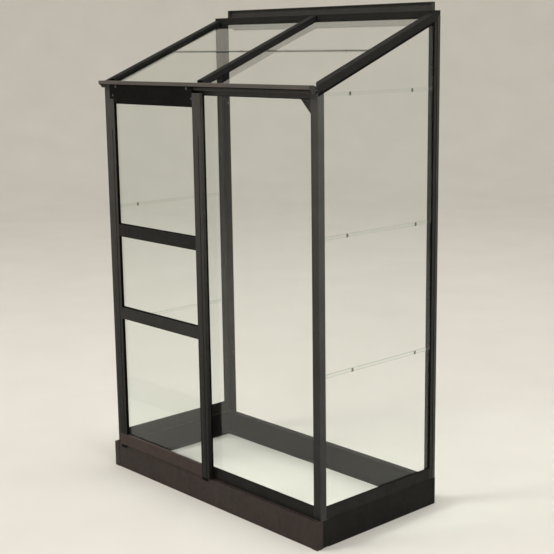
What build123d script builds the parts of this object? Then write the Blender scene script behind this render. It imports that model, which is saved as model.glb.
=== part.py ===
from build123d import *
import os
from math import radians, tan

# Lean-to greenhouse in millimetres. X runs along the wall, -Y is the front, +Z is up.
# The origin is on the ground under the middle of the whole outline.

# Overall sizes, over the posts and above the plinth
frame_width = 1315.0
frame_depth = 661.0
eaves_height = 1602.0
roof_pitch = 22.0
plinth_height = 113.0

# Aluminium sections
wall = 2.0
thin_wall = 1.6
rebate = 8.0
cover = 10.0
arris = 1.2
corner_face = 36.0
corner_side = 31.0
jamb = 30.0
bar_face = 28.0
bar_depth = 18.0
bar_seat = 16.0
bolt_channel = 10.0
sill_height = 46.0
sill_depth = 34.0
eaves_face = 25.5
wall_post_depth = 32.0
wall_post_seat = 32.0
wall_post_flange = 54.0
wall_post_groove = 5.0
wall_post_groove_depth = 3.0
wall_post_rib = 15.0
wall_post_drop = 5.0

# Wall fixing holes
fixing_radius = 3.25
fixing_inset = 43.0
fixing_low = 300.0
fixing_high = 1500.0

# Plinth
plinth_sheet = 2.0
plinth_out = 21.0
plinth_side_out = 3.0
plinth_flange = 62.0
plinth_foot = 30.0
corner_plate_leg = 30.0
corner_plate_sheet = 1.5

# Gutter and door track
gutter_out = 34.6
gutter_inset = 8.0
gutter_drop = 7.5
gutter_rise = 22.0
trough_depth = 15.0
lip_height = 14.0
track_out = 6.0
track_lip = 10.5
drip = 6.0
wheel_gap = 0.3
wheel_groove_radius = 5.0
wheel_flange_radius = 6.5
wheel_width = 5.0
groove_width = 2.8
axle_radius = 3.0

# Glass
glass = 3.0
glass_gap = 0.3
lap = 12.0
pane_edge = 1.5
top_lap_drop = 6.0
end_courses = 3

# Roof
roof_bar_face = 33.0
roof_bar_seat = 20.0
roof_bar_rise = 30.0
roof_bar_stop = 8.0
gable_rise = 20.0
gable_drop = 19.0
gable_seat_drop = 15.0
gable_step = 3.0
capping_mitre = 27.0
skirt_gap = 7.0
roof_lap_share = 0.52
ridge_depth = 34.0
ridge_height = 33.0
ridge_rise = 17.0
ridge_lip = 10.0
flashing_height = 33.0
flashing_flange = 14.0
flashing_bead = 11.0
flashing_bead_drop = 3.0
flashing_inset_left = 64.0
flashing_inset_right = 28.0

# Door
door_left = 56.0
door_width = 633.0
door_front = 29.1
door_back = 14.0
door_gap = 5.0
stile_face = 50.0
stile_return = 15.0
stile_drop = 18.0
stile_groove = 33.0
header_drop = 70.0
header_rise = 14.0
header_inset = 21.0
header_band = 16.0
groove = 2.0
groove_depth = 0.6
rail_height = 51.0
upper_rail_share = 0.6315
lower_rail_share = 0.4017
left_wheel_inset = 66.0
right_wheel_inset = 84.5
guide_length = 36.0
guide_inset = 18.0
guide_drop = 11.0
guide_gap = 1.0
guide_sheet = 2.0

# Gussets
gusset_leg = 65.0
gusset_sheet = 2.0

# Derived places
half = frame_width / 2
post_inner = half - corner_face
front_y = (gutter_out - frame_depth) / 2
rear_y = front_y + frame_depth
base_z = plinth_height
eaves_top = base_z + eaves_height
eaves_low = eaves_top - eaves_face
slope = tan(radians(roof_pitch))
ridge_y = rear_y - ridge_depth
roof_y0 = front_y + wall
wall_seat_z = eaves_top + slope * frame_depth
post_top = wall_seat_z - wall_post_drop
ridge_z1 = wall_seat_z + ridge_rise
ridge_z0 = ridge_z1 - ridge_height
sill_z = base_z + sill_height
seat = wall + rebate
seat_x = half - seat
above_roof = 2 * slope * frame_depth
slack = 1.0


def slab(a0, a1, b0, b1):
    """Adds a rectangle given by its four edges to the open sketch."""
    with Locations(((a0 + a1) / 2, (b0 + b1) / 2)):
        Rectangle(abs(a1 - a0), abs(b1 - b0))


def upright(section, z0, z1, mode=Mode.ADD):
    """Extrudes a plan section of rectangles from z0 to z1."""
    with BuildSketch(Plane.XY.offset(z0)) as profile:
        for edges in section:
            slab(*edges)
    extrude(profile.sketch, amount=z1 - z0, mode=mode)


def along_x(section, x0, x1, mode=Mode.ADD):
    """Extrudes a section of rectangles in Y and Z from x0 to x1."""
    with BuildSketch(Plane.YZ.offset(x0)) as profile:
        for edges in section:
            slab(*edges)
    extrude(profile.sketch, amount=x1 - x0, mode=mode)


def along_y(section, y0, y1, mode=Mode.ADD):
    """Extrudes a section of rectangles in X and Z from y0 to y1."""
    with BuildSketch(Plane.XZ.offset(-y0)) as profile:
        for edges in section:
            slab(*edges)
    extrude(profile.sketch, amount=-(y1 - y0), mode=mode)


def roof_z(y):
    """Height above the ground of the line on which the roof glass rests."""
    return eaves_top + slope * (y - front_y)


def sloping(x0, x1, y0, y1, low, high, mode=Mode.ADD):
    """A bar between x0 and x1 that follows the roof, low to high above the seat line."""
    with BuildSketch(Plane.YZ.offset(x0)) as profile:
        with BuildLine():
            Polyline(
                (y0, roof_z(y0) + low),
                (y1, roof_z(y1) + low),
                (y1, roof_z(y1) + high),
                (y0, roof_z(y0) + high),
                close=True,
            )
        make_face()
    extrude(profile.sketch, amount=x1 - x0, mode=mode)


def soften(piece, direction, place, radius=arris):
    """Rounds the edge of a piece that runs in a direction and is nearest to a place."""
    fillet(piece.edges().filter_by(direction).sort_by_distance(place)[0], radius=radius)


def finish(piece, label):
    """Labels a piece and writes its file."""
    piece.part.label = label
    export_step(piece.part, f"parts/{label}.step")


os.makedirs("parts", exist_ok=True)

# Plinth of folded sheet
plinth_front_y = front_y - plinth_out
plinth_face_y = plinth_front_y + corner_plate_sheet
plinth_x = half + plinth_side_out - corner_plate_sheet
plinth_side_y0 = plinth_face_y + plinth_flange
side_flange_x = plinth_x - plinth_foot - wall
with BuildPart() as plinth_front:
    along_x(
        [
            (plinth_face_y, plinth_face_y + plinth_sheet, 0, base_z),
            (plinth_face_y, plinth_side_y0, base_z - plinth_sheet, base_z),
            (plinth_face_y, plinth_face_y + plinth_foot, 0, plinth_sheet),
        ],
        -plinth_x,
        plinth_x,
    )
    soften(plinth_front, Axis.X, (0, plinth_face_y, base_z))
    soften(plinth_front, Axis.X, (0, plinth_face_y, 0))
finish(plinth_front, "plinth_front")

with BuildPart() as plinth_right:
    along_y(
        [
            (plinth_x - plinth_sheet, plinth_x, 0, base_z),
            (side_flange_x, plinth_x, base_z - plinth_sheet, base_z),
            (plinth_x - plinth_foot, plinth_x, 0, plinth_sheet),
        ],
        plinth_side_y0,
        rear_y,
    )
    along_y([(plinth_x - plinth_sheet, plinth_x, plinth_sheet, base_z - plinth_sheet)],
            plinth_face_y + plinth_sheet, plinth_side_y0)
    soften(plinth_right, Axis.Y, (plinth_x, rear_y, base_z))
finish(plinth_right, "plinth_right")

with BuildPart() as plinth_left:
    mirror(plinth_right.part, about=Plane.YZ)
finish(plinth_left, "plinth_left")

with BuildPart() as plinth_rear:
    along_x(
        [
            (rear_y - plinth_sheet, rear_y, 0, base_z),
            (rear_y - plinth_foot, rear_y, base_z - plinth_sheet, base_z),
            (rear_y - plinth_foot, rear_y, 0, plinth_sheet),
        ],
        -side_flange_x,
        side_flange_x,
    )
finish(plinth_rear, "plinth_rear")

with BuildPart() as plinth_corner_plates:
    for side in (-1, 1):
        outer_x = side * (plinth_x + corner_plate_sheet)
        upright(
            [
                (outer_x, outer_x - side * corner_plate_leg, plinth_front_y, plinth_face_y),
                (outer_x, outer_x - side * corner_plate_sheet, plinth_front_y,
                 plinth_front_y + corner_plate_leg),
            ],
            0,
            base_z,
        )
        soften(plinth_corner_plates, Axis.Z, (outer_x, plinth_front_y, base_z / 2))
finish(plinth_corner_plates, "plinth_corner_plates")

# Corner posts, with a rebate for each pane
with BuildPart() as corner_post_right:
    upright(
        [
            (post_inner, half, front_y, front_y + wall),
            (half - wall, half, front_y, front_y + corner_side),
            (post_inner, seat_x, front_y + seat, front_y + seat + wall),
            (seat_x - wall, seat_x, front_y + seat, front_y + corner_side),
            (post_inner + cover, post_inner + cover + wall, front_y, front_y + seat + wall),
            (seat_x - wall, half, front_y + corner_side - cover - wall, front_y + corner_side - cover),
        ],
        base_z,
        eaves_top,
    )
    sloping(post_inner - slack, half + slack, roof_y0, front_y + corner_side + slack, -gable_drop,
            above_roof, mode=Mode.SUBTRACT)
    soften(corner_post_right, Axis.Z, (half, front_y, base_z + eaves_height / 2))
finish(corner_post_right, "corner_post_right")

with BuildPart() as corner_post_left:
    mirror(corner_post_right.part, about=Plane.YZ)
    upright([(-post_inner, -post_inner + jamb, front_y, front_y + wall)], base_z + wall, eaves_low)
finish(corner_post_left, "corner_post_left")

# Middle glazing bar
channel_y = front_y + seat + wall
with BuildPart() as middle_post:
    upright(
        [
            (-bar_face / 2, bar_face / 2, front_y, front_y + wall),
            (-wall / 2, wall / 2, front_y, channel_y),
            (-bar_seat / 2, bar_seat / 2, front_y + seat, channel_y),
            (-bolt_channel / 2, -bolt_channel / 2 + wall, channel_y, front_y + bar_depth),
            (bolt_channel / 2 - wall, bolt_channel / 2, channel_y, front_y + bar_depth),
        ],
        base_z + wall,
        eaves_low,
    )
    for side in (-1, 1):
        soften(middle_post, Axis.Z, (side * bar_face / 2, front_y, base_z + eaves_height / 2))
finish(middle_post, "middle_post")

# Wall posts, grooved along the outside
wall_post_y = rear_y - wall_post_depth
rib_y = rear_y - wall_post_rib
groove_x = half - wall_post_groove_depth
groove_y = rib_y - wall_post_groove
with BuildPart() as wall_post_right:
    upright(
        [
            (half - wall, half, wall_post_y, groove_y),
            (half - wall, half, rib_y, rear_y),
            (groove_x - wall, groove_x, groove_y - wall, rib_y + wall),
            (groove_x - wall, half, groove_y - wall, groove_y),
            (groove_x - wall, half, rib_y, rib_y + wall),
            (half - wall_post_seat, seat_x, wall_post_y, wall_post_y + wall),
            (seat_x - wall, seat_x, wall_post_y, rear_y - wall),
            (seat_x - wall, half, wall_post_y + cover, wall_post_y + cover + wall),
            (post_inner, half, rear_y - wall, rear_y),
        ],
        base_z,
        post_top,
    )
    upright([(half - wall_post_flange, post_inner, rear_y - wall, rear_y)], base_z, ridge_z0)
    sloping(post_inner - slack, half + slack, wall_post_y - slack, rib_y, -gable_drop, above_roof,
            mode=Mode.SUBTRACT)
    for height in (fixing_low, fixing_high):
        with Locations(Plane(origin=(half - fixing_inset, rear_y, base_z + height), z_dir=(0, 1, 0))):
            Hole(radius=fixing_radius, depth=wall)
finish(wall_post_right, "wall_post_right")

with BuildPart() as wall_post_left:
    mirror(wall_post_right.part, about=Plane.YZ)
finish(wall_post_left, "wall_post_left")

# Sills between the posts
bead_z = sill_z - cover
with BuildPart() as front_sill:
    along_x(
        [
            (front_y, front_y + sill_depth, base_z, base_z + wall),
            (front_y, front_y + wall, base_z, sill_z),
            (front_y + seat, front_y + seat + wall, base_z, sill_z),
            (front_y, front_y + seat + wall, bead_z - wall, bead_z),
        ],
        bar_face / 2,
        post_inner,
    )
    along_x([(front_y, front_y + sill_depth, base_z, base_z + wall)], -post_inner, bar_face / 2)
    soften(front_sill, Axis.X, (post_inner, front_y, sill_z))
finish(front_sill, "front_sill")

with BuildPart() as right_sill:
    along_y(
        [
            (half - sill_depth, half, base_z, base_z + wall),
            (half - wall, half, base_z, sill_z),
            (seat_x - wall, seat_x, base_z, sill_z),
            (seat_x - wall, half, bead_z - wall, bead_z),
        ],
        front_y + corner_side,
        wall_post_y,
    )
    soften(right_sill, Axis.Y, (half, 0, sill_z))
finish(right_sill, "right_sill")

with BuildPart() as left_sill:
    mirror(right_sill.part, about=Plane.YZ)
finish(left_sill, "left_sill")

# Eaves bar between the corner posts
eaves_web_z = eaves_low + cover + wall
with BuildPart() as eaves_bar:
    along_x(
        [
            (front_y, front_y + wall, eaves_low, eaves_top),
            (front_y + seat, front_y + seat + wall, eaves_low, eaves_web_z),
            (front_y, front_y + seat + wall, eaves_low + cover, eaves_web_z),
        ],
        -post_inner,
        post_inner,
    )
finish(eaves_bar, "eaves_bar")

# Gutter with the door's hanging rail in front of it
trough_z = eaves_top - gutter_drop
gutter_z = eaves_top + gutter_rise
rail_y = front_y - trough_depth
lip_y = front_y - gutter_out
gutter_half = half - gutter_inset
with BuildPart() as gutter:
    along_x(
        [
            (front_y - thin_wall, front_y, trough_z, roof_z(front_y - drip)),
            (rail_y - track_out, front_y, trough_z, trough_z + thin_wall),
            (rail_y, rail_y + thin_wall, trough_z, gutter_z),
            (rail_y - track_out, rail_y - track_out + thin_wall, trough_z, trough_z + track_lip),
            (lip_y, rail_y, gutter_z - thin_wall, gutter_z),
            (lip_y, lip_y + thin_wall, gutter_z - lip_height, gutter_z),
        ],
        -gutter_half,
        gutter_half,
    )
    soften(gutter, Axis.X, (gutter_half, lip_y, gutter_z))
finish(gutter, "gutter")

# Roof bars
roof_line = Axis((0, 0, 0), (0, 1, slope))
with BuildPart() as gable_bar_right:
    sloping(half - wall, half, roof_y0, rib_y, -gable_drop, gable_rise)
    sloping(post_inner, half, roof_y0, ridge_y, gable_rise - wall, gable_rise)
    sloping(post_inner, post_inner + wall, roof_y0, ridge_y, skirt_gap, gable_rise)
    sloping(post_inner + cover, post_inner + cover + wall, roof_y0, ridge_y, -wall, gable_rise)
    sloping(post_inner, half, roof_y0, ridge_y, -wall, 0)
    sloping(seat_x - wall, seat_x, roof_y0, ridge_y, -gable_seat_drop, 0)
    with BuildSketch(Plane.XY.offset(eaves_top + gable_step)) as mitre:
        with BuildLine():
            Polyline(
                (half, roof_y0),
                (post_inner, roof_y0 + capping_mitre),
                (post_inner, roof_y0),
                close=True,
            )
        make_face()
    extrude(mitre.sketch, amount=above_roof, mode=Mode.SUBTRACT)
    along_y([(half - wall - slack, half + slack, post_top, post_top + ridge_height)], ridge_y,
            rear_y, mode=Mode.SUBTRACT)
    soften(gable_bar_right, roof_line, (half, 0, roof_z(0) + gable_rise))
finish(gable_bar_right, "gable_bar_right")

with BuildPart() as gable_bar_left:
    mirror(gable_bar_right.part, about=Plane.YZ)
finish(gable_bar_left, "gable_bar_left")

bar_half = roof_bar_face / 2
bar_stop_y = ridge_y - roof_bar_stop
with BuildPart() as roof_bar_middle:
    sloping(-bar_half, bar_half, roof_y0, bar_stop_y, roof_bar_rise - wall, roof_bar_rise)
    for x0 in (-bar_half, bar_half - wall):
        sloping(x0, x0 + wall, roof_y0, bar_stop_y, skirt_gap, roof_bar_rise)
    sloping(-wall / 2, wall / 2, roof_y0, bar_stop_y, -wall, roof_bar_rise)
    sloping(-roof_bar_seat / 2, roof_bar_seat / 2, roof_y0, ridge_y, -wall, 0)
    for side in (-1, 1):
        soften(roof_bar_middle, roof_line, (side * bar_half, 0, roof_z(0) + roof_bar_rise))
finish(roof_bar_middle, "roof_bar_middle")

with BuildPart() as ridge_bar:
    along_x(
        [
            (ridge_y, ridge_y + wall, ridge_z0, ridge_z1),
            (ridge_y, rear_y, ridge_z1 - wall, ridge_z1),
            (rear_y - wall, rear_y, ridge_z0, ridge_z1),
            (ridge_y, ridge_y + ridge_lip, ridge_z0, ridge_z0 + wall),
        ],
        -post_inner,
        post_inner,
    )
    for side in (-1, 1):
        along_x([(ridge_y, ridge_y + wall, roof_z(ridge_y) + gable_rise, ridge_z1)], side * post_inner,
                side * (half - wall))
    soften(ridge_bar, Axis.X, (0, ridge_y, ridge_z1))
finish(ridge_bar, "ridge_bar")

flashing_z = ridge_z1 + flashing_height
with BuildPart() as wall_flashing:
    along_x(
        [
            (rear_y - flashing_flange, rear_y, ridge_z1, ridge_z1 + thin_wall),
            (rear_y - thin_wall, rear_y, ridge_z1, flashing_z),
            (rear_y - flashing_bead, rear_y, flashing_z - thin_wall, flashing_z),
            (rear_y - flashing_bead, rear_y - flashing_bead + thin_wall, flashing_z - flashing_bead_drop,
             flashing_z),
        ],
        -half + flashing_inset_left,
        half - flashing_inset_right,
    )
finish(wall_flashing, "wall_flashing")


# Glass. Each pane's lower edge stands outside the pane below it.
pane_slip = glass + glass_gap


def end_pane(z0, z1, y0, y1, slip):
    """A pane of the right end: its top on the seat, its foot further out by the slip."""
    inner = seat_x + glass_gap
    with BuildSketch(Plane.XZ.offset(-y0)) as profile:
        with BuildLine():
            Polyline(
                (inner + slip, z0),
                (inner + slip + glass, z0),
                (inner + glass, z1),
                (inner, z1),
                close=True,
            )
        make_face()
    extrude(profile.sketch, amount=-(y1 - y0))


end_y0 = front_y + corner_side - cover + pane_edge
end_y1 = wall_post_y + cover - pane_edge
first_z = bead_z + pane_edge
course = (eaves_top - top_lap_drop - sill_z) / end_courses
for number in range(1, end_courses + 1):
    low_z = first_z if number == 1 else sill_z + (number - 1) * course - lap
    with BuildPart() as right_pane:
        end_pane(low_z, sill_z + number * course, end_y0, end_y1, 0 if number == 1 else pane_slip)
    finish(right_pane, f"right_pane_{number}")
    with BuildPart() as left_pane:
        mirror(right_pane.part, about=Plane.YZ)
    finish(left_pane, f"left_pane_{number}")

with BuildPart() as right_gable_pane:
    end_pane(eaves_top - top_lap_drop - lap, wall_seat_z, end_y0, end_y1, pane_slip)
    sloping(post_inner, half, end_y0 - slack, end_y1 + slack, -wall - pane_edge, above_roof,
            mode=Mode.SUBTRACT)
finish(right_gable_pane, "right_gable_pane")
with BuildPart() as left_gable_pane:
    mirror(right_gable_pane.part, about=Plane.YZ)
finish(left_gable_pane, "left_gable_pane")

front_pane_y = front_y + seat - glass_gap
with BuildPart() as front_pane:
    upright(
        [(wall / 2 + pane_edge, post_inner + cover - pane_edge, front_pane_y - glass, front_pane_y)],
        first_z,
        eaves_low + cover - pane_edge,
    )
finish(front_pane, "front_pane")

# Roof panes, the upper one lapped over the lower
roof_lap_y = front_y + (ridge_y - front_y) * roof_lap_share
roof_rows = [
    ("lower", front_y - drip, roof_lap_y + lap, 0),
    ("upper", roof_lap_y, ridge_y - pane_edge, pane_slip),
]
roof_pane_x0 = wall / 2 + pane_edge
roof_pane_x1 = post_inner + cover - pane_edge
for name, y0, y1, slip in roof_rows:
    foot = roof_z(y0) + glass_gap + slip
    head = roof_z(y1) + glass_gap
    with BuildPart() as right_roof_pane:
        with BuildSketch(Plane.YZ.offset(roof_pane_x0)) as profile:
            with BuildLine():
                Polyline((y0, foot), (y1, head), (y1, head + glass), (y0, foot + glass), close=True)
            make_face()
        extrude(profile.sketch, amount=roof_pane_x1 - roof_pane_x0)
    finish(right_roof_pane, f"roof_pane_right_{name}")
    with BuildPart() as left_roof_pane:
        mirror(right_roof_pane.part, about=Plane.YZ)
    finish(left_roof_pane, f"roof_pane_left_{name}")

# Gussets behind the front's top corners
with BuildPart() as eaves_gussets:
    for side in (-1, 1):
        corner_x = side * post_inner
        with BuildSketch(Plane.XZ.offset(-(front_y + seat + wall))) as profile:
            with BuildLine():
                Polyline(
                    (corner_x + side * cover, eaves_low + cover),
                    (corner_x - side * gusset_leg, eaves_low + cover),
                    (corner_x - side * gusset_leg, eaves_low),
                    (corner_x, eaves_low - gusset_leg),
                    (corner_x + side * cover, eaves_low - gusset_leg),
                    close=True,
                )
            make_face()
        extrude(profile.sketch, amount=-gusset_sheet)
finish(eaves_gussets, "eaves_gussets")

# Sliding door, hung in front of the left bay
door_x0 = -half + door_left
door_x1 = door_x0 + door_width
door_y0 = front_y - door_front
door_y1 = front_y - door_back
door_z0 = base_z + door_gap
stile_z1 = eaves_top - stile_drop
face_y = door_y0 + thin_wall
plate_y = face_y + thin_wall
pane_y0 = door_y1 - glass
reveal_y = pane_y0 - glass_gap
header_z0 = eaves_top - header_drop
header_z1 = eaves_top + header_rise
band_z = header_z0 + header_band


def stile_section(x0, x1, outer):
    """Plan section of a stile between x0 and x1, with its closed side at x = outer."""
    inner = x0 + x1 - outer
    way = 1 if inner > outer else -1
    return [
        (x0, x1, door_y0, face_y),
        (outer, outer + way * wall, door_y0, door_y1),
        (outer, outer + way * stile_return, door_y1 - thin_wall, door_y1),
        (inner - way * wall, inner, door_y0, reveal_y),
        (inner - way * (cover + wall), inner - way * cover, door_y0, door_y1),
    ]


stile_middle = (door_z0 + stile_z1) / 2
header_x0 = door_x0 + header_inset
with BuildPart() as door_stile_left:
    upright(stile_section(door_x0, door_x0 + stile_face, door_x0), door_z0, stile_z1)
    upright([(header_x0, door_x0 + stile_face, door_y0, plate_y)], band_z, stile_z1, mode=Mode.SUBTRACT)
    upright([(door_x0 + stile_groove, door_x0 + stile_groove + groove, door_y0, door_y0 + groove_depth)],
            door_z0, band_z, mode=Mode.SUBTRACT)
    soften(door_stile_left, Axis.Z, (door_x0, door_y0, stile_middle))
finish(door_stile_left, "door_stile_left")

with BuildPart() as door_stile_right:
    upright(stile_section(door_x1 - stile_face, door_x1, door_x1), door_z0, stile_z1)
    upright([(door_x1 - stile_groove - groove, door_x1 - stile_groove, door_y0, door_y0 + groove_depth)],
            door_z0, stile_z1, mode=Mode.SUBTRACT)
    soften(door_stile_right, Axis.Z, (door_x1, door_y0, stile_middle))
    soften(door_stile_right, Axis.Z, (door_x1 - stile_face, door_y0, stile_middle))
finish(door_stile_right, "door_stile_right")

# Header, a plate behind the stiles' faces with a grooved band over the glass
inside_x0 = door_x0 + stile_face
inside_x1 = door_x1 - stile_face
groove_z = band_z - groove
with BuildPart() as door_header:
    along_x([(face_y, plate_y, band_z, header_z1)], header_x0, inside_x1)
    along_x(
        [
            (door_y0, plate_y, header_z0, band_z),
            (face_y, reveal_y, header_z0, header_z0 + wall),
            (face_y, door_y1, header_z0 + cover, header_z0 + cover + wall),
        ],
        inside_x0,
        inside_x1,
    )
    along_x([(door_y0, door_y0 + groove_depth, groove_z - groove, groove_z)],
            inside_x0, inside_x1, mode=Mode.SUBTRACT)
finish(door_header, "door_header")


def rail_section(z0, z1):
    """Section of a door rail: a face with a reveal at each edge and a stop for each pane."""
    return [
        (door_y0, face_y, z0, z1),
        (door_y0, reveal_y, z0, z0 + wall),
        (door_y0, reveal_y, z1 - wall, z1),
        (door_y0, door_y1, z0 + cover, z0 + cover + wall),
        (door_y0, door_y1, z1 - cover - wall, z1 - cover),
    ]


rails = {
    "door_rail_upper": base_z + upper_rail_share * eaves_height - rail_height,
    "door_rail_lower": base_z + lower_rail_share * eaves_height - rail_height,
    "door_rail_bottom": door_z0,
}
for name, z0 in rails.items():
    z1 = z0 + rail_height
    with BuildPart() as rail:
        along_x(rail_section(z0, z1), inside_x0, inside_x1)
        soften(rail, Axis.X, (inside_x0, door_y0, z1))
        soften(rail, Axis.X, (inside_x0, door_y0, z0))
    finish(rail, name)

door_panes = {
    "door_pane_top": (rails["door_rail_upper"] + rail_height, header_z0),
    "door_pane_middle": (rails["door_rail_lower"] + rail_height, rails["door_rail_upper"]),
    "door_pane_bottom": (rails["door_rail_bottom"] + rail_height, rails["door_rail_lower"]),
}
pane_reach = cover - pane_edge
for name, (z0, z1) in door_panes.items():
    with BuildPart() as pane:
        upright(
            [(inside_x0 - pane_reach, inside_x1 + pane_reach, pane_y0, door_y1)],
            z0 - pane_reach,
            z1 + pane_reach,
        )
    finish(pane, name)

# Rollers, grooved to run on the rail's lip
wheel_z = trough_z + track_lip + wheel_gap + wheel_groove_radius
wheel_y = rail_y - track_out + thin_wall / 2
wheel_y0 = wheel_y - wheel_width / 2
wheel_y1 = wheel_y + wheel_width / 2
with BuildPart() as door_rollers:
    for x in (door_x0 + left_wheel_inset, door_x1 - right_wheel_inset):
        with BuildSketch(Plane.YZ.offset(x)) as profile:
            slab(wheel_y0, wheel_y1, wheel_z, wheel_z + wheel_groove_radius)
            slab(wheel_y0, wheel_y - groove_width / 2, wheel_z, wheel_z + wheel_flange_radius)
            slab(wheel_y + groove_width / 2, wheel_y1, wheel_z, wheel_z + wheel_flange_radius)
            slab(plate_y, wheel_y, wheel_z, wheel_z + axle_radius)
        revolve(profile.sketch, axis=Axis((x, 0, wheel_z), (0, 1, 0)))
finish(door_rollers, "door_rollers")

# Guides that hook over the front of the plinth
guide_y = plinth_front_y - guide_gap
with BuildPart() as door_guides:
    for x in (door_x0, door_x1 - guide_inset - guide_length):
        along_x(
            [
                (guide_y - guide_sheet, door_y1, door_z0 - guide_sheet, door_z0),
                (guide_y - guide_sheet, guide_y, base_z - guide_drop, door_z0),
            ],
            x,
            x + guide_length,
        )
finish(door_guides, "door_guides")
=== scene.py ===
import math

import bmesh
import bpy
from mathutils import Matrix, Vector


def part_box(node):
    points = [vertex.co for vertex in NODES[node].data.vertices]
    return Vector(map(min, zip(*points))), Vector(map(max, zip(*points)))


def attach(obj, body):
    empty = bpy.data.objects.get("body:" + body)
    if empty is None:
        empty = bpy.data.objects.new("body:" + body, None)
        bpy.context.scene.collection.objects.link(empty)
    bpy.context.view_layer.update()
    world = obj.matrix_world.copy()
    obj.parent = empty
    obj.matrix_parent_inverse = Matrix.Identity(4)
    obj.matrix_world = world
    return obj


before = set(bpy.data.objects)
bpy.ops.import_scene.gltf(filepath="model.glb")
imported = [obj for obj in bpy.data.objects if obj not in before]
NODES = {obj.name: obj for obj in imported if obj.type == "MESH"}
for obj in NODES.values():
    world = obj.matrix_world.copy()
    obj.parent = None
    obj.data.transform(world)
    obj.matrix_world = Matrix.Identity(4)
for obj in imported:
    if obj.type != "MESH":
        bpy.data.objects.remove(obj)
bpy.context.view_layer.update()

# Camera, where the photograph was taken from; angles in degrees, lens and sensor in millimetres
CAMERA_AT = Vector((3.6575, -3.2426, 1.8835))
HEADING, PITCH, ROLL = 47.751, -11.189, 0.804
LENS, SENSOR = 76.80, 36.0
FAR_CLIP = 200.0


def make_camera():
    """The camera at the photograph's viewing angle."""
    data = bpy.data.cameras.new("camera")
    data.lens = LENS
    data.sensor_width = SENSOR
    data.clip_end = FAR_CLIP
    camera = bpy.data.objects.new("camera", data)
    bpy.context.scene.collection.objects.link(camera)
    turn = (
        Matrix.Rotation(math.radians(HEADING), 4, "Z")
        @ Matrix.Rotation(math.radians(PITCH), 4, "X")
        @ Matrix.Rotation(math.radians(ROLL), 4, "Y")
        @ Matrix.Rotation(math.radians(90), 4, "X")
    )
    camera.matrix_world = Matrix.Translation(CAMERA_AT) @ turn
    bpy.context.scene.camera = camera


make_camera()

# Places of the frame, read from its pieces, in metres
post_low, post_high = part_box("corner_post_right")
HALF = post_high[0]  # half the width over the corner posts
POST_INNER = post_low[0]  # inner edge of a corner post's front face
FRONT = post_low[1]
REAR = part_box("wall_post_right")[1][1]
BASE = post_low[2]  # top of the plinth
EAVES = BASE + 1.602  # height of the roof line at the front
SLOPE = math.tan(math.radians(22.0))

# Sizes of the small pieces, in metres
SHEET = 0.002  # thickness of the frame's sections
GAP = 0.0002  # clearance between pieces that would share a face
RUBBER_GAP = 0.0001  # clearance between rubber and what it touches
SKIRT = 0.007  # lower edges of the roof bars, over the roof line
GLASS_TOP = 0.0033  # top of one roof pane, over the roof line
MITRE = 0.027  # how far back a gable bar's mitred front end runs
STRIP = 0.0013  # thickness of the rubber at the ends
RUBBER_REACH = 0.003  # how far rubber shows past the metal that holds it
DOOR_RECESS = 0.0022  # the door's rubber begins this far behind the stiles' front
HEADER_BACK = 0.0016  # the header plate's front lies this far behind the stiles'

SIDES = (("right", 1), ("left", -1))
X, Y, Z = (1, 0, 0), (0, 1, 0), (0, 0, 1)
LEFTWARD, FORWARD, DOWN = (-1, 0, 0), (0, -1, 0), (0, 0, -1)


def roof_z(y):
    """Height of the line on which the roof glass rests."""
    return EAVES + SLOPE * (y - FRONT)


# Lights
def area_light(name, at, aim, size, power, colour=(1, 1, 1)):
    """A soft square light at a point, aimed at another."""
    data = bpy.data.lights.new(name, "AREA")
    data.shape = "SQUARE"
    data.size = size
    data.energy = power
    data.color = colour
    light = bpy.data.objects.new(name, data)
    bpy.context.scene.collection.objects.link(light)
    light.location = at
    light.rotation_euler = (Vector(aim) - Vector(at)).to_track_quat("-Z", "Y").to_euler()


area_light(
    "key", (-2.2, -4.4, 6.4), aim=(0, 0, 0.9), size=1.8, power=240, colour=(1.0, 0.97, 0.93)
)
area_light(
    "side", (5.6, -1.2, 3.2), aim=(0, 0, 0.9), size=2.5, power=130, colour=(0.97, 0.99, 1.0)
)
area_light("back", (0.5, 5.0, 5.5), aim=(0, 0, 1), size=4.0, power=60)

world = bpy.data.worlds.new("studio")
bpy.context.scene.world = world
world.use_nodes = True
background = world.node_tree.nodes["Background"]
background.inputs["Color"].default_value = (1.0, 0.985, 0.95, 1)
background.inputs["Strength"].default_value = 0.93

# Materials
# Painted shade: each coat is darkened near the ground and reaches its own tone between these
# heights
SHADE_FROM, SHADE_TO = 0.2, 1.7  # heights between which a coat turns from its foot's tone to its own
WEAR_RADIUS = 0.0016  # reach of the rubbed edges
WEAR_TONE = 1.7  # rubbed edges against the dust's colour


def material(name):
    """A node material; returns it, its nodes, its links and its shader."""
    m = bpy.data.materials.new(name)
    m.use_nodes = True
    nodes, links = m.node_tree.nodes, m.node_tree.links
    return m, nodes, links, nodes["Principled BSDF"]


def noise(nodes, links, scale, detail=3.0, roughness=0.5, stretch=None):
    """The factor of a noise over the object's own coordinates."""
    place = nodes.new("ShaderNodeTexCoord")
    n = nodes.new("ShaderNodeTexNoise")
    n.inputs["Scale"].default_value = scale
    n.inputs["Detail"].default_value = detail
    n.inputs["Roughness"].default_value = roughness
    if stretch:
        turn = nodes.new("ShaderNodeMapping")
        turn.inputs["Scale"].default_value = stretch
        links.new(place.outputs["Object"], turn.inputs["Vector"])
        links.new(turn.outputs["Vector"], n.inputs["Vector"])
    else:
        links.new(place.outputs["Object"], n.inputs["Vector"])
    return n.outputs["Fac"]


def ramp(nodes, links, source, low, high):
    """The colour of a ramp over a factor, between two stops of place and colour."""
    r = nodes.new("ShaderNodeValToRGB")
    for element, (place, colour) in zip(r.color_ramp.elements, (low, high)):
        element.position = place
        element.color = (*colour, 1)
    links.new(source, r.inputs["Fac"])
    return r.outputs["Color"]


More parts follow.
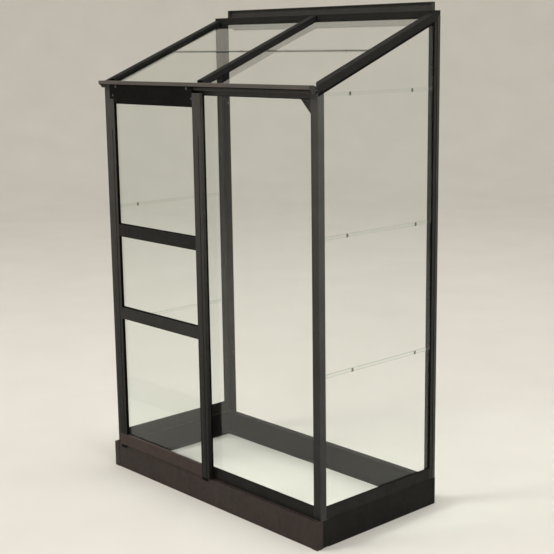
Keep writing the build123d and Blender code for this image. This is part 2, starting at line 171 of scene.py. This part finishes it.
def grey(value):
    """A colour of one value."""
    return (value,) * 3


def mix(nodes, links, factor, a, b):
    """A mix of two colours by a factor; each is a socket or a value."""
    m = nodes.new("ShaderNodeMix")
    m.data_type = "RGBA"
    for source, socket in ((factor, m.inputs[0]), (a, m.inputs[6]), (b, m.inputs[7])):
        if isinstance(source, bpy.types.NodeSocket):
            links.new(source, socket)
        else:
            socket.default_value = source
    return m.outputs[2]


def bump(nodes, links, shader, height, strength, distance):
    """Feeds a height to the shader's normal."""
    b = nodes.new("ShaderNodeBump")
    b.inputs["Strength"].default_value = strength
    b.inputs["Distance"].default_value = distance
    links.new(height, b.inputs["Height"])
    links.new(b.outputs["Normal"], shader.inputs["Normal"])


def rubbed_edges(nodes, links):
    """The colour that marks where a piece's edges are rubbed."""
    edge = nodes.new("ShaderNodeBevel")
    edge.samples = 4
    edge.inputs["Radius"].default_value = WEAR_RADIUS
    surface = nodes.new("ShaderNodeNewGeometry")
    dot = nodes.new("ShaderNodeVectorMath")
    dot.operation = "DOT_PRODUCT"
    links.new(edge.outputs["Normal"], dot.inputs[0])
    links.new(surface.outputs["Normal"], dot.inputs[1])
    return ramp(nodes, links, dot.outputs["Value"], (0.80, grey(0.5)), (0.985, grey(0)))


def powder_coat(name, low, high, dust, roughness, dust_amount=0.25, specular=0.30, foot=1.0):
    """Satin powder coat: orange-peel, mottled sheen, streaks of dust and rubbed edges.

    It lies between the colours low and high, and foot is the share of them left near the ground,
    as painted shade.
    """
    m, nodes, links, shader = material(name)
    cloud = noise(nodes, links, scale=9.0, detail=6.0, roughness=0.6)
    body = ramp(nodes, links, cloud, (0.32, low), (0.68, high))
    # Painted shade: towards the ground the coat darkens to foot times its tone
    if foot < 1.0:
        shaded_low, shaded_high = [c * foot for c in low], [c * foot for c in high]
        shaded_body = ramp(nodes, links, cloud, (0.32, shaded_low), (0.68, shaded_high))
        split = nodes.new("ShaderNodeSeparateXYZ")
        links.new(nodes.new("ShaderNodeTexCoord").outputs["Object"], split.inputs[0])
        height = nodes.new("ShaderNodeMapRange")
        height.inputs["From Min"].default_value = SHADE_FROM
        height.inputs["From Max"].default_value = SHADE_TO
        links.new(split.outputs["Z"], height.inputs["Value"])
        body = mix(nodes, links, height.outputs["Result"], shaded_body, body)
    streak = noise(nodes, links, scale=26.0, detail=5.0, roughness=0.65, stretch=(1.0, 1.0, 0.12))
    streak_mask = ramp(nodes, links, streak, (0.55, grey(0)), (0.78, grey(dust_amount)))
    with_dust = mix(nodes, links, streak_mask, body, (*dust, 1))
    bare = (*[c * WEAR_TONE for c in dust], 1)
    colour = mix(nodes, links, rubbed_edges(nodes, links), with_dust, bare)
    links.new(colour, shader.inputs["Base Color"])
    sheen = noise(nodes, links, scale=40.0, detail=4.0, roughness=0.6)
    rough = ramp(nodes, links, sheen, (0.3, grey(roughness - 0.06)), (0.7, grey(roughness + 0.1)))
    links.new(rough, shader.inputs["Roughness"])
    peel = noise(nodes, links, scale=160.0, detail=3.0, roughness=0.5)
    bump(nodes, links, shader, peel, strength=0.10, distance=0.0004)
    shader.inputs["Specular IOR Level"].default_value = specular
    return m


# The frame's one coat, darkened near the ground by foot as painted shade; the copies after it are
# toned as painted light and shade
frame_paint = powder_coat(
    "frame_paint", (0.0370, 0.0353, 0.0325), (0.0493, 0.0470, 0.0430), dust=(0.080, 0.074, 0.064),
    roughness=0.50, foot=0.15,
)
# Paler copy of the coat for the posts' outer end faces: painted light
painted_light_side = powder_coat(
    "painted_light_side", (0.0590, 0.0572, 0.0535), (0.0755, 0.0732, 0.0688), dust=(0.100, 0.095, 0.086),
    roughness=0.50, foot=0.30,
)
# Copy of the coat for the door's stiles, paler up high and darker at the foot: painted light and
# shade
stile_light_and_shade = powder_coat(
    "stile_light_and_shade", (0.0430, 0.0410, 0.0378), (0.0560, 0.0535, 0.0490), dust=(0.085, 0.078, 0.068),
    roughness=0.50, specular=0.20, foot=0.08,
)
# Copy of the coat, paler than the shaded copies below and without a darkened foot: painted light
painted_light_coat = powder_coat(
    "painted_light_coat", (0.0270, 0.0255, 0.0235), (0.0350, 0.0330, 0.0305), dust=(0.060, 0.055, 0.047),
    roughness=0.50,
)
# Darker copy for the door's lower rail and the front part of the wall posts' outer faces: painted
# shade
painted_shade_mid = powder_coat(
    "painted_shade_mid", (0.0160, 0.0150, 0.0138), (0.0230, 0.0216, 0.0200), dust=(0.045, 0.041, 0.036),
    roughness=0.52, specular=0.20,
)
# Pale copy for the top and front of the gutter's lip: a painted highlight
painted_highlight_strip = powder_coat(
    "painted_highlight_strip", (0.0680, 0.0600, 0.0540), (0.0820, 0.0720, 0.0650), dust=(0.110, 0.098, 0.086),
    roughness=0.50,
)
shade_paint = powder_coat(
    "shade_paint", (0.0085, 0.0084, 0.0076), (0.0130, 0.0126, 0.0114), dust=(0.030, 0.028, 0.024),
    roughness=0.56, specular=0.15,
)
# Copy of shade_paint with less shine, for the bars' tops and the wall posts' fronts: painted shade
painted_shade_dull = powder_coat(
    "painted_shade_dull", (0.0085, 0.0084, 0.0076), (0.0130, 0.0126, 0.0114), dust=(0.030, 0.028, 0.024),
    roughness=0.60, specular=0.08,
)
# Near-black copy for the door's header, the middle post and the stiles' lines: painted shade
painted_shade_dark = powder_coat(
    "painted_shade_dark", (0.0024, 0.0026, 0.0023), (0.0042, 0.0044, 0.0039), dust=(0.010, 0.009, 0.008),
    roughness=0.62, dust_amount=0.20, specular=0.07,
)
gusset_paint = powder_coat(
    "gusset_paint", (0.0007, 0.0007, 0.0007), (0.0015, 0.0015, 0.0015), dust=(0.004, 0.004, 0.004),
    roughness=0.68, dust_amount=0.15, specular=0.02,
)
rail_paint = powder_coat(
    "rail_paint", (0.0360, 0.0235, 0.0205), (0.0465, 0.0300, 0.0262), dust=(0.085, 0.070, 0.060),
    roughness=0.50, specular=0.20,
)
plinth_paint = powder_coat(
    "plinth_paint", (0.0215, 0.0140, 0.0120), (0.0285, 0.0192, 0.0166), dust=(0.060, 0.051, 0.042),
    roughness=0.55, dust_amount=0.40,
)
plinth_shade = powder_coat(
    "plinth_shade", (0.0060, 0.0056, 0.0050), (0.0095, 0.0088, 0.0078), dust=(0.024, 0.021, 0.018),
    roughness=0.60, dust_amount=0.40, specular=0.12,
)


def make_nylon():
    """Black moulded nylon with a faint moulded grain."""
    m, nodes, links, shader = material("nylon")
    cloud = noise(nodes, links, scale=120.0, detail=4.0)
    low, high = (0.0010, 0.0009, 0.0009), (0.0028, 0.0025, 0.0024)
    body = ramp(nodes, links, cloud, (0.3, low), (0.7, high))
    links.new(body, shader.inputs["Base Color"])
    shader.inputs["Specular IOR Level"].default_value = 0.04
    rough = ramp(nodes, links, cloud, (0.3, grey(0.38)), (0.7, grey(0.52)))
    links.new(rough, shader.inputs["Roughness"])
    fine = noise(nodes, links, scale=1500.0, detail=2.0)
    bump(nodes, links, shader, fine, strength=0.2, distance=0.0002)
    return m


def make_rubber():
    """Black glazing rubber, dull and a little dusty."""
    m, nodes, links, shader = material("rubber")
    cloud = noise(nodes, links, scale=60.0, detail=5.0)
    low, high = (0.0015, 0.0015, 0.0016), (0.0042, 0.0040, 0.0038)
    body = ramp(nodes, links, cloud, (0.35, low), (0.75, high))
    links.new(body, shader.inputs["Base Color"])
    shader.inputs["Roughness"].default_value = 0.8
    shader.inputs["Specular IOR Level"].default_value = 0.06
    fine = noise(nodes, links, scale=700.0, detail=2.0)
    bump(nodes, links, shader, fine, strength=0.25, distance=0.0003)
    return m


def make_metal(name, low, high):
    """Bright or dulled metal with a drawn grain and slight tarnish."""
    m, nodes, links, shader = material(name)
    grain = noise(nodes, links, scale=400.0, detail=3.0, roughness=0.6, stretch=(1.0, 1.0, 0.1))
    body = ramp(nodes, links, grain, (0.3, low), (0.7, high))
    links.new(body, shader.inputs["Base Color"])
    shader.inputs["Metallic"].default_value = 1.0
    rough = ramp(nodes, links, grain, (0.3, grey(0.26)), (0.7, grey(0.42)))
    links.new(rough, shader.inputs["Roughness"])
    bump(nodes, links, shader, grain, strength=0.15, distance=0.0002)
    return m


def make_glass():
    """Clear horticultural glass with a film of dust, that lets the lamps' light through."""
    m, nodes, links, shader = material("clear_glass")
    dust = noise(nodes, links, scale=3.0, detail=6.0, roughness=0.6)
    body = ramp(nodes, links, dust, (0.3, (0.955, 0.975, 0.96)), (0.7, (0.93, 0.955, 0.935)))
    links.new(body, shader.inputs["Base Color"])
    shader.inputs["Roughness"].default_value = 0.0
    shader.inputs["IOR"].default_value = 1.36
    shader.inputs["Transmission Weight"].default_value = 1.0
    clear = nodes.new("ShaderNodeBsdfTransparent")
    clear.inputs["Color"].default_value = (0.93, 0.965, 0.945, 1)
    path = nodes.new("ShaderNodeLightPath")
    blend = nodes.new("ShaderNodeMixShader")
    links.new(path.outputs["Is Shadow Ray"], blend.inputs["Fac"])
    links.new(shader.outputs[0], blend.inputs[1])
    links.new(clear.outputs[0], blend.inputs[2])
    links.new(blend.outputs[0], nodes["Material Output"].inputs["Surface"])
    return m


def make_glass_edge(name, low, high, specular):
    """The ground edges of the panes, deep bottle green."""
    m, nodes, links, shader = material(name)
    grain = noise(nodes, links, scale=300.0, detail=3.0)
    body = ramp(nodes, links, grain, (0.3, low), (0.7, high))
    links.new(body, shader.inputs["Base Color"])
    shader.inputs["Roughness"].default_value = 0.25
    shader.inputs["Specular IOR Level"].default_value = specular
    return m


nylon, rubber = make_nylon(), make_rubber()
steel = make_metal("stainless", (0.20, 0.195, 0.18), (0.33, 0.32, 0.30))
zinc = make_metal("dulled_zinc", (0.085, 0.085, 0.083), (0.15, 0.148, 0.142))
glass = make_glass()
glass_edge = make_glass_edge("glass_edge", (0.030, 0.075, 0.052), (0.055, 0.120, 0.085), 0.5)
roof_edge = make_glass_edge("roof_glass_edge", (0.006, 0.010, 0.003), (0.014, 0.022, 0.008), 0.1)

# Materials of the frame's pieces; those not named here are of glass or in frame_paint
PAINTS = {
    painted_light_coat: ("gutter", "wall_flashing", "eaves_bar"),
    stile_light_and_shade: ("door_stile_left", "door_stile_right"),
    rail_paint: ("door_rail_bottom",),
    painted_shade_mid: ("door_rail_lower",),
    shade_paint: (
        "roof_bar_middle", "gable_bar_right", "gable_bar_left", "ridge_bar", "door_rail_upper",
        "front_sill", "right_sill", "left_sill", "wall_post_right", "wall_post_left",
    ),
    painted_shade_dark: ("door_header", "middle_post"),
    gusset_paint: ("eaves_gussets",),
    plinth_paint: ("plinth_front", "plinth_corner_plates"),
    plinth_shade: ("plinth_left", "plinth_right", "plinth_rear"),
    nylon: ("door_rollers", "door_guides"),
}
PAINT_OF = {name: paint for paint, names in PAINTS.items() for name in names}
for name, o in NODES.items():
    o.data.materials.clear()
    if "pane" in name:
        o.data.materials.append(glass)
        o.data.materials.append(roof_edge if "roof" in name else glass_edge)
        facing = max(
            range(3), key=lambda k: sum(p.area * abs(p.normal[k]) for p in o.data.polygons)
        )
        for p in o.data.polygons:
            p.material_index = 0 if abs(p.normal[facing]) > 0.7 else 1
    else:
        o.data.materials.append(PAINT_OF.get(name, frame_paint))


def repaint(name, m, chosen):
    """Gives a further material to the faces that a test of centre and normal picks."""
    data = NODES[name].data
    data.materials.append(m)
    for p in data.polygons:
        if chosen(p.center, p.normal):
            p.material_index = len(data.materials) - 1


def outward(c, n):
    """Whether a face of a post looks out of an end of the frame."""
    return abs(n.x) > 0.9 and abs(c.x) > HALF - 0.0005


# Painted highlight on the gutter's front lip, painted shade on the bars' tops, painted light and
# shade on the posts' outer faces
WALL_EDGE = REAR - 0.016  # the wall posts' outer faces are paler behind this line
gut_low, gut_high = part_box("gutter")
repaint("gutter", painted_highlight_strip, lambda c, n: (
    c.z > gut_high[2] - 0.0145 and c.y < gut_low[1] + 0.003 and (n.y < -0.3 or n.z > 0.5)
))
for name in ("gable_bar_right", "gable_bar_left", "roof_bar_middle"):
    repaint(name, painted_shade_dull, lambda c, n: n.z > 0.8 and c.z > roof_z(c.y) + 0.015)
for name in ("right", "left"):
    repaint("corner_post_" + name, painted_light_side, outward)
    post = "wall_post_" + name
    repaint(post, painted_light_coat, lambda c, n: outward(c, n) and c.y > WALL_EDGE)
    repaint(post, painted_shade_mid, lambda c, n: outward(c, n) and c.y < WALL_EDGE)
    # Painted shade on the wall posts' fronts
    repaint(post, painted_shade_dull, lambda c, n: n.y < -0.9 and abs(c.x) < HALF - 0.010)


# Small pieces, built as meshes in place
class Build:
    """Gathers simple forms into one mesh."""

    def __init__(self):
        self.bm = bmesh.new()

    def sweep(self, section, start, end, u, v, end_section=None):
        """Extrudes a closed section of (a, b) points, start + a u + b v, from start to end."""
        u, v, start, end = Vector(u), Vector(v), Vector(start), Vector(end)
        first = [self.bm.verts.new(start + a * u + b * v) for a, b in section]
        last = [self.bm.verts.new(end + a * u + b * v) for a, b in (end_section or section)]
        n = len(section)
        for i in range(n):
            self.bm.faces.new((first[i], first[(i + 1) % n], last[(i + 1) % n], last[i]))
        self.bm.faces.new(list(reversed(first)))
        self.bm.faces.new(last)

    def lathe(self, profile, centre, axis, steps=20):
        """Turns (distance, radius) points, from radius 0 to radius 0, round an axis."""
        axis, centre = Vector(axis).normalized(), Vector(centre)
        u = axis.orthogonal().normalized()
        v = axis.cross(u)
        rings = []
        for d, r in profile:
            if r == 0:
                rings.append([self.bm.verts.new(centre + d * axis)])
            else:
                rings.append([
                    self.bm.verts.new(centre + d * axis + r * (math.cos(t) * u + math.sin(t) * v))
                    for t in (2 * math.pi * i / steps for i in range(steps))
                ])
        for a, b in zip(rings, rings[1:]):
            for i in range(steps):
                j = (i + 1) % steps
                loop = [a[i % len(a)], a[j % len(a)], b[j % len(b)], b[i % len(b)]]
                unique = list(dict.fromkeys(loop))
                if len(unique) > 2:
                    self.bm.faces.new(unique)

    def piece(self, name, m, body, bevel=0.0):
        """Makes the object, with rounded edges where a bevel is given."""
        bmesh.ops.recalc_face_normals(self.bm, faces=self.bm.faces)
        data = bpy.data.meshes.new(name)
        self.bm.to_mesh(data)
        self.bm.free()
        data.materials.append(m)
        o = bpy.data.objects.new(name, data)
        bpy.context.scene.collection.objects.link(o)
        for p in data.polygons:
            p.use_smooth = True
        sharp = math.radians(35)
        if bevel:
            b = o.modifiers.new("rounding", "BEVEL")
            b.width = bevel
            b.segments = 2
            b.limit_method = "ANGLE"
            b.angle_limit = sharp
            b.harden_normals = True
        data.set_sharp_from_angle(angle=sharp)
        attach(o, body)


def rect(a0, a1, b0, b1):
    """A rectangular section."""
    return [(a0, b0), (a1, b0), (a1, b1), (a0, b1)]


def edge_rubber(depth):
    """Section of the rubber that shows past a metal edge and reaches back to the glass."""
    reach, hidden = RUBBER_REACH, -0.004
    return [
        (hidden, 0), (reach * 0.6, 0), (reach, depth * 0.5), (reach * 0.9, depth), (hidden, depth),
    ]


def line_opening(build, section, x0, x1, y, z0, z1, left_section=None, foot=True):
    """Runs a section round an opening of the front, and along its lower side where foot is set."""
    build.sweep(left_section or section, (x0, y, z0), (x0, y, z1), X, Y)
    build.sweep(section, (x1, y, z0), (x1, y, z1), LEFTWARD, Y)
    if foot:
        build.sweep(section, (x0, y, z0), (x1, y, z0), Z, Y)
    build.sweep(section, (x0, y, z1), (x1, y, z1), DOWN, Y)


# Glazing rubber in the door: lines each opening and laps onto the glass
stile_l, stile_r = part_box("door_stile_left"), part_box("door_stile_right")
door_x0, door_x1 = stile_l[0][0], stile_r[1][0]
door_front = stile_l[0][1]
door_rubber = Build()
for pane, below, above in (
    ("door_pane_top", "door_rail_upper", "door_header"),
    ("door_pane_middle", "door_rail_lower", "door_rail_upper"),
    ("door_pane_bottom", "door_rail_bottom", "door_rail_lower"),
):
    z0, z1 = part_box(below)[1][2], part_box(above)[0][2]
    y = door_front + DOOR_RECESS
    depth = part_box(pane)[0][1] - RUBBER_GAP - y
    section = [
        (0, 0), (0.001, 0), (0.0014, 0.003), (0.0012, depth - 0.0035),
        (0.004, depth - 0.0012), (0.0042, depth), (0, depth),
    ]
    foot = below != "door_rail_bottom"
    line_opening(door_rubber, section, stile_l[1][0], stile_r[0][0], y, z0, z1, foot=foot)
door_rubber.piece("door_glazing_rubber", rubber, "door")

# Painted shadow line down the face of each stile; the left one ends at the foot plate
rail_low, rail_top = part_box("door_rail_bottom")[0][2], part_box("door_rail_bottom")[1][2]
shadow_line_y, shadow_line_top = door_front - 0.00002, BASE + 1.42
shadow_lines = Build()
shadow_line = [(-0.0024, 0), (-0.0018, -0.00025), (0.0018, -0.00025), (0.0024, 0)]
for x, z in ((door_x0 + 0.034, rail_top), (door_x1 - 0.016, BASE + 0.012)):
    shadow_lines.sweep(shadow_line, (x, shadow_line_y, z), (x, shadow_line_y, shadow_line_top), X, Y)
shadow_lines.piece("stile_shadow_lines", painted_shade_dark, "door")

# Plate that carries the bottom rail's face over the foot of the left stile
foot_plate = Build()
face = [
    (0.0004, rail_low + 0.0004), (0.0500, rail_low + 0.0004), (0.0500, rail_top - 0.0006),
    (0.0490, rail_top), (0.0014, rail_top), (0.0004, rail_top - 0.0010),
]
foot_plate.sweep(face, (door_x0, door_front - 0.0008, 0), (door_x0, door_front - 0.0001, 0), X, Z)
foot_plate.piece("stile_foot_plate", rail_paint, "door", 0.0002)

# Rubber round the fixed pane, narrower along the middle post
post_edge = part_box("middle_post")[1][0]
sill_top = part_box("front_sill")[1][2]
eaves_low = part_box("eaves_bar")[0][2]
front_rubber = Build()
y = FRONT + SHEET
section = edge_rubber(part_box("front_pane")[0][1] - RUBBER_GAP - y)
narrow = [(a - (0.0015 if a > 0 else 0), b) for a, b in section]
line_opening(front_rubber, section, post_edge, POST_INNER, y, sill_top, eaves_low, narrow)
front_rubber.piece("front_glazing_rubber", rubber, "frame")

# Rubber of the two ends: up both posts, along the sill and along the gable bar's lower edge
end_front, end_rear = post_high[1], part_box("wall_post_right")[0][1]
end_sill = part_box("right_sill")[1][2]
seal_front, seal_rear = FRONT + 0.004, REAR - 0.034
seal_section = [(0, -0.0196), (0.0009, -0.0193), (0.0011, -0.015), (0.0008, -0.0115), (0, -0.0112)]
for name, s in SIDES:
    end_rubber = Build()
    x = s * (HALF - SHEET)
    inward = (-s, 0, 0)
    for y, into in ((end_front, Y), (end_rear, FORWARD)):
        top = roof_z(y) - 0.019
        end_rubber.sweep(edge_rubber(STRIP), (x, y, end_sill), (x, y, top), into, inward)
    end_rubber.sweep(
        edge_rubber(STRIP), (x, end_front, end_sill), (x, end_rear, end_sill), Z, inward
    )
    end_rubber.piece("end_glazing_rubber_" + name, rubber, "frame")

    seal = Build()
    seal.sweep(
        seal_section, (s * HALF, seal_front, roof_z(seal_front)),
        (s * HALF, seal_rear, roof_z(seal_rear)), (s, 0, 0), Z,
    )
    seal.piece("gable_seal_" + name, rubber, "frame")


def skirt_rubber(low):
    """Section of the rubber between a roof bar's skirt and the glass, from the height low."""
    skirt = SKIRT - RUBBER_GAP
    return [
        (-0.003, SKIRT + 0.002), (-0.002, low), (0.0012, low), (0.0006, max(skirt, low + 0.0002)),
        (-0.0012, max(skirt, low + 0.0003)), (-0.0012, SKIRT + 0.002),
    ]


# Rubber under the skirts of the roof bars, in two lengths that meet at the lap
lap_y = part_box("roof_pane_right_upper")[0][1]
ridge_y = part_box("ridge_bar")[0][1]
bar_low, bar_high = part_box("roof_bar_middle")
one_pane, two_panes = GLASS_TOP + RUBBER_GAP, 2 * GLASS_TOP + RUBBER_GAP
roof_rubber = Build()
for x, s in ((bar_high[0], 1), (bar_low[0], -1), (POST_INNER, -1), (-POST_INNER, 1)):
    start = FRONT + (0.004 if abs(x) < 0.1 else SHEET + MITRE + 0.0005)
    x -= s * 0.002
    for y0, y1, low in ((start, lap_y - 0.0005, one_pane), (lap_y, ridge_y - 0.002, two_panes)):
        roof_rubber.sweep(
            skirt_rubber(low), (x, y0, roof_z(y0)), (x, y1, roof_z(y1)), (s, 0, 0), Z,
            skirt_rubber(one_pane),
        )
roof_rubber.piece("roof_glazing_rubber", rubber, "frame")

# Stainless clips that carry each pane on the one below it, or on the eaves
CLIP_HALF = 0.005  # half of a clip's width
CLIP_THICK = 0.0007
CLIP_TIP = 0.0012  # how far it stands below the pane's edge
CLIP_HOOK = 0.0034  # how far its fold goes in under the edge


def pane_clip(build, at, out, down, along, length, hooked=True):
    """A thin strip down a pane's face to its edge; hooked, it folds under to the pane below."""
    at, half = Vector(at), CLIP_HALF * Vector(along)
    strips = [rect(0, CLIP_THICK, -length, CLIP_TIP)]
    if hooked:
        strips.append(rect(-CLIP_HOOK, CLIP_THICK, 0.0005, CLIP_TIP))
    for strip in strips:
        build.sweep(strip, at - half, at + half, out, down)


END_CLIPS = {"pane_2": (0.177, 0.533), "pane_3": (0.151, 0.531), "gable_pane": (0.167, 0.505)}
for name, s in SIDES:
    end_clips = Build()
    for pane, places in END_CLIPS.items():
        low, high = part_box(f"{name}_{pane}")
        x = high[0] if s > 0 else low[0]
        for y in places:
            pane_clip(end_clips, (x, FRONT + y, low[2]), (s, 0, 0), DOWN, Y, 0.012)
    end_clips.piece("end_clips_" + name, steel, "frame")

roof_clips = Build()
roof_up = Vector((0, -SLOPE, 1)).normalized()
roof_fall = Vector((0, -1, -SLOPE)).normalized()
for x in (-0.472, -0.134, 0.134, 0.472):
    for y, rise, hooked in ((lap_y, 2 * GLASS_TOP, True), (FRONT - 0.006, GLASS_TOP, False)):
        at = (x, y, roof_z(y) + rise)
        pane_clip(roof_clips, at, roof_up, roof_fall, X, 0.009, hooked)
roof_clips.piece("roof_clips", steel, "frame")


# Bolts and screws
def pan_head(build, at, out, r, h):
    """A domed head with a washer rim and a sunk drive."""
    build.lathe([
        (0, 0), (0, r * 1.25), (0.0006, r * 1.25), (0.0006, r), (h * 0.6, r * 0.92),
        (h * 0.9, r * 0.6), (h, r * 0.3), (h * 0.75, r * 0.28), (h * 0.7, 0),
    ], at, out)


door_screws = Build()
for x, z, r, h in (
    (door_x0 + 0.066, -0.0015, 0.0050, 0.0026), (door_x1 - 0.0845, -0.0015, 0.0050, 0.0026),
    (door_x0 + 0.0445, -0.038, 0.0042, 0.0024), (door_x1 - 0.0545, -0.0405, 0.0042, 0.0024),
):
    pan_head(door_screws, (x, door_front + HEADER_BACK, EAVES + z), FORWARD, r, h)
door_screws.piece("door_screws", zinc, "door")

# Black discs where the gable bars meet the corner posts: painted shade of their screw holes
corner_hole_shadows = Build()
for s in (-1, 1):
    for at, out in (
        ((s * HALF, FRONT + 0.0215, EAVES - 0.0005), (s, 0, 0)),
        ((s * (HALF - 0.0045), FRONT, EAVES - 0.0025), FORWARD),
    ):
        corner_hole_shadows.lathe([(0, 0), (0, 0.0046), (0.00025, 0.0044), (0.0002, 0)], at, out)
corner_hole_shadows.piece("corner_hole_shadows", rubber, "frame")

# Bolts through the gussets
gusset_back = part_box("eaves_gussets")[1][1]
gusset_bolts = Build()
for s in (-1, 1):
    for a, b in ((0.046, -0.006), (0.018, -0.006), (-0.006, -0.040)):
        at = (s * (POST_INNER - a), gusset_back, eaves_low + b)
        pan_head(gusset_bolts, at, Y, 0.0042, 0.0024)
gusset_bolts.piece("gusset_bolts", zinc, "frame")

# Plates at the flashing's ends
flash_low, flash_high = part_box("wall_flashing")
flash_ends = Build()
section = [
    (0, 0), (0, -0.0095), (0.0008, -0.0102), (0.0092, -0.0102), (0.0100, -0.0095), (0.0100, 0),
]
y, z0, z1 = flash_high[1] - 0.0016, flash_low[2] + 0.0018, flash_high[2] - 0.0018
for x, s in ((flash_low[0], 1), (flash_high[0], -1)):
    flash_ends.sweep(section, (x, y, z0), (x, y, z1), (s, 0, 0), Y)
flash_ends.piece("flashing_ends", painted_light_coat, "frame", 0.0004)

# Gutter end caps
gutter_caps = Build()
section = [
    (gut_low[1] + GAP, gut_high[2] - 0.014), (gut_low[1] + GAP, gut_high[2] - 0.0012),
    (gut_low[1] + 0.0014, gut_high[2]), (FRONT - 0.0120, gut_high[2]),
    (FRONT - GAP, gut_high[2] - 0.0055), (FRONT - GAP, gut_low[2]),
    (FRONT - 0.0205, gut_low[2]), (FRONT - 0.0205, gut_low[2] + 0.006),
]
for s in (-1, 1):
    x = gut_high[0] * s
    gutter_caps.sweep(section, (x, 0, 0), (x + s * 0.0018, 0, 0), Y, Z)
gutter_caps.piece("gutter_end_caps", painted_light_coat, "frame", 0.0004)

# Front end caps of the bars: a flat and a mitred plate on each gable bar, one on the middle bar
bar_caps = Build()
y = FRONT + SHEET
for s in (-1, 1):
    x, z = s * (HALF - 0.036), roof_z(y)
    bar_caps.sweep(
        rect(0.0006, 0.0354, -0.0185, 0.0025), (x, y - 0.0012, z), (x, y - GAP, z), (s, 0, 0), Z
    )
    corner = Vector((s * HALF, y, 0))
    along = Vector((-s * (HALF - POST_INNER), MITRE, 0))
    length = along.length
    along.normalize()
    ahead = Vector((-s * MITRE, -(HALF - POST_INNER), 0)).normalized()
    section = [
        (0.0006, EAVES + 0.0034), (length - 0.0006, EAVES + 0.0034),
        (length - 0.0006, roof_z(y + MITRE) + 0.0193), (0.0006, roof_z(y) + 0.0190),
    ]
    bar_caps.sweep(section, corner + GAP * ahead, corner + 0.0012 * ahead, along, Z)
z = roof_z(y)
bar_caps.sweep(rect(-0.016, 0.016, 0.0072, 0.0292), (0, y - 0.0022, z), (0, y - GAP, z), X, Z)
bar_caps.piece("bar_end_caps", nylon, "frame", 0.0003)

# Bracket that closes the upper end of the middle roof bar
bracket = Build()
section = [
    (-0.0148, 0.0075), (-0.0148, 0.026), (-0.0128, 0.0282), (0.0128, 0.0282), (0.0148, 0.026),
    (0.0148, 0.0075), (0.0102, 0.0075), (0.0102, 0.0005), (-0.0102, 0.0005), (-0.0102, 0.0075),
]
y = ridge_y - 0.008
bracket.sweep(section, (0, y + GAP, roof_z(y)), (0, ridge_y - GAP, roof_z(ridge_y) - 0.0008), X, Z)
bracket.piece("ridge_bracket", nylon, "frame", 0.0004)

# Rubber along the lower edge of the ridge bar
ridge_low, ridge_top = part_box("ridge_bar")[0][2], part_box("ridge_bar")[1][2]
ridge_rubber = Build()
section = [(0, 0.0002), (-0.0006, 0.0004), (-0.0010, 0.003), (-0.0006, 0.0058), (0, 0.006)]
for x0, x1 in ((-POST_INNER + 0.0005, -0.0170), (0.0170, POST_INNER - 0.0005)):
    ridge_rubber.sweep(section, (x0, ridge_y, ridge_low), (x1, ridge_y, ridge_low), Y, Z)
ridge_rubber.piece("ridge_glazing_rubber", rubber, "frame")

# Folded caps over the open ends of the ridge: a fold along its top and back, and a side
ridge_ends = Build()
cap_low, cap_top = roof_z(REAR) - 0.005 + GAP, ridge_top - GAP
cap_front, cap_rear = ridge_y + GAP, REAR - GAP
fold = [
    (ridge_y + SHEET + GAP, ridge_top - 0.0018), (ridge_y + SHEET + GAP, cap_top),
    (cap_rear, cap_top), (cap_rear, cap_low), (REAR - 0.0018, cap_low),
    (REAR - 0.0018, ridge_top - 0.0018),
]
side = [(cap_front, cap_low), (cap_front, cap_top), (cap_rear, cap_top), (cap_rear, cap_low)]
for s in (-1, 1):
    ridge_ends.sweep(fold, (s * (POST_INNER + GAP), 0, 0), (s * (HALF - 0.0018), 0, 0), Y, Z)
    ridge_ends.sweep(side, (s * (HALF - 0.0017), 0, 0), (s * (HALF - GAP), 0, 0), Y, Z)
ridge_ends.piece("ridge_end_caps", shade_paint, "frame", 0.0003)

# Folded plates that join the plinth's rear corners
rear_plates = Build()
section = [(0, 0), (0.057, 0), (0.057, -0.0014), (0.0014, -0.0014), (0.0014, -0.029), (0, -0.029)]
y, z0, z1 = REAR - SHEET - GAP, SHEET + 0.0003, BASE - SHEET - 0.0003
for s in (-1, 1):
    x = s * (HALF - 0.0008)
    rear_plates.sweep(section, (x, y, z0), (x, y, z1), (-s, 0, 0), Y)
rear_plates.piece("plinth_rear_plates", plinth_shade, "frame", 0.0003)

# Floor that sweeps up into a pale backdrop all round
FLOOR_RADIUS, CURVE, BACKDROP_TOP = 9.0, 5.0, 11.0
STEPS, CURVE_STEPS = 64, 16
profile = [(0.0, 0.0), (3.0, 0.0), (6.0, 0.0), (FLOOR_RADIUS, 0.0)]
for i in range(1, CURVE_STEPS + 1):
    a = math.radians(90 * i / CURVE_STEPS)
    profile.append((FLOOR_RADIUS + CURVE * math.sin(a), CURVE - CURVE * math.cos(a)))
profile.append((FLOOR_RADIUS + CURVE, BACKDROP_TOP))
turns = [2 * math.pi * i / STEPS for i in range(STEPS)]
bm = bmesh.new()
rings = [
    [bm.verts.new((r * math.cos(t), r * math.sin(t), z)) for t in (turns if r else turns[:1])]
    for r, z in profile
]
for a, b in zip(rings, rings[1:]):
    for i in range(STEPS):
        j = (i + 1) % STEPS
        bm.faces.new((a[0], b[i], b[j]) if len(a) == 1 else (a[i], b[i], b[j], a[j]))
floor_data = bpy.data.meshes.new("floor")
bm.to_mesh(floor_data)
bm.free()
for p in floor_data.polygons:
    p.use_smooth = True
floor = bpy.data.objects.new("floor", floor_data)
bpy.context.scene.collection.objects.link(floor)
m, nodes, links, shader = material("floor_paint")
shade = noise(nodes, links, scale=2.0, detail=4.0)
tone = ramp(nodes, links, shade, (0.3, (0.66, 0.635, 0.585)), (0.7, (0.69, 0.665, 0.615)))
links.new(tone, shader.inputs["Base Color"])
shader.inputs["Roughness"].default_value = 0.85
shader.inputs["Specular IOR Level"].default_value = 0.15
floor_data.materials.append(m)

bpy.context.scene.view_settings.view_transform = "Standard"
